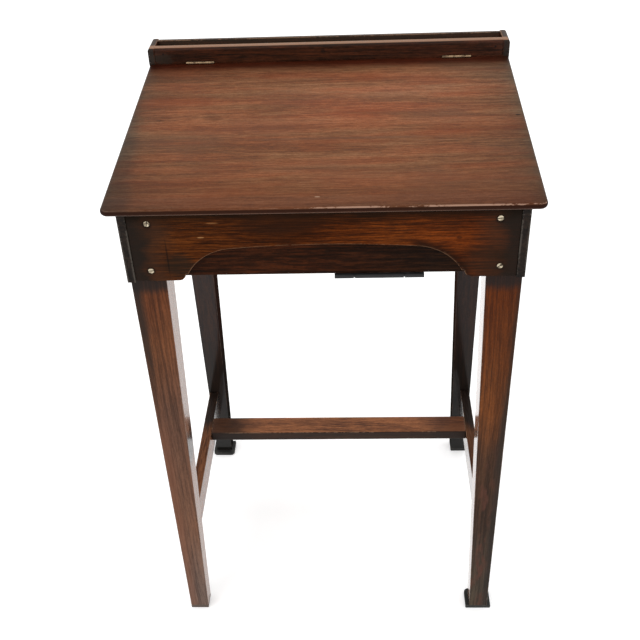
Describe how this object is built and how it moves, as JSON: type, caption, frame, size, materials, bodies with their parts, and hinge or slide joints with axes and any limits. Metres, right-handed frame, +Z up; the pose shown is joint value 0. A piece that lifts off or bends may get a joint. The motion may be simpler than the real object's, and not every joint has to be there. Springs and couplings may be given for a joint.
{
  "type": "school desk",
  "caption": "Small sloping wooden school desk: hinged lid over a shallow box, pen tray behind, arched apron, tapered legs tied by an H of stretchers.",
  "frame": {"origin": "on the floor, under the middle of the desk's overall box", "axes": "+X to the right of someone standing in front, -Y to the front, where that person stands, +Y to the pen tray at the back, +Z up"},
  "size_m": [0.485, 0.384, 0.764],
  "materials": {
    "lid_wood": "reddish brown polish, worn and greyed along the edges",
    "tray_wood": "nearly black old polish, worn pale on the arrises",
    "side_wood": "grey brown, worn polish",
    "apron_wood": "orange brown polish with streaky grain, blackened at the ends",
    "dark_wood": "dark red brown, thin stain",
    "leg_wood": "orange brown glossy polish, darker at the feet",
    "brass": "pale, rubbed bright",
    "black_iron": "black, dull",
    "pad": "black, dull"
  },
  "bodies": {
    "desk": {"front_board": "dark_wood", "back_board": "dark_wood", "bottom_board": "dark_wood", "left_side_board": "side_wood", "right_side_board": "side_wood", "arched_apron": "apron_wood", "apron_screws": "brass", "front_left_leg": "leg_wood", "front_right_leg": "leg_wood", "rear_left_leg": "leg_wood", "rear_right_leg": "leg_wood", "foot_pads": "pad", "left_stretcher": "leg_wood", "right_stretcher": "leg_wood", "cross_stretcher": "leg_wood", "tray_floor": "tray_wood", "tray_front_rail": "tray_wood", "tray_back_rail": "tray_wood", "tray_left_end": "tray_wood", "tray_right_end": "tray_wood", "left_hinge_tray_leaf": "brass", "right_hinge_tray_leaf": "brass", "left_hinge_pin": "brass", "right_hinge_pin": "brass", "tray_leaf_screws": "brass", "iron_fixed_leaf": "black_iron", "iron_pin": "black_iron", "iron_screws": "black_iron"},
    "lid": {"lid": "lid_wood", "left_hinge_lid_leaf": "brass", "right_hinge_lid_leaf": "brass", "lid_leaf_screws": "brass"},
    "iron_leaf": {"iron_free_leaf": "black_iron"}
  },
  "joints": [
    {"name": "lid_hinge", "type": "hinge", "parent": "desk", "child": "lid", "pos_m": [0, 0.1527, 0.743], "axis": [-1, 0, 0], "range_deg": [0, 98]},
    {"name": "iron_leaf_hinge", "type": "hinge", "parent": "desk", "child": "iron_leaf", "pos_m": [0.0625, -0.1739, 0.60995], "axis": [-1, 0, 0], "range_deg": [0, 210]}
  ]
}
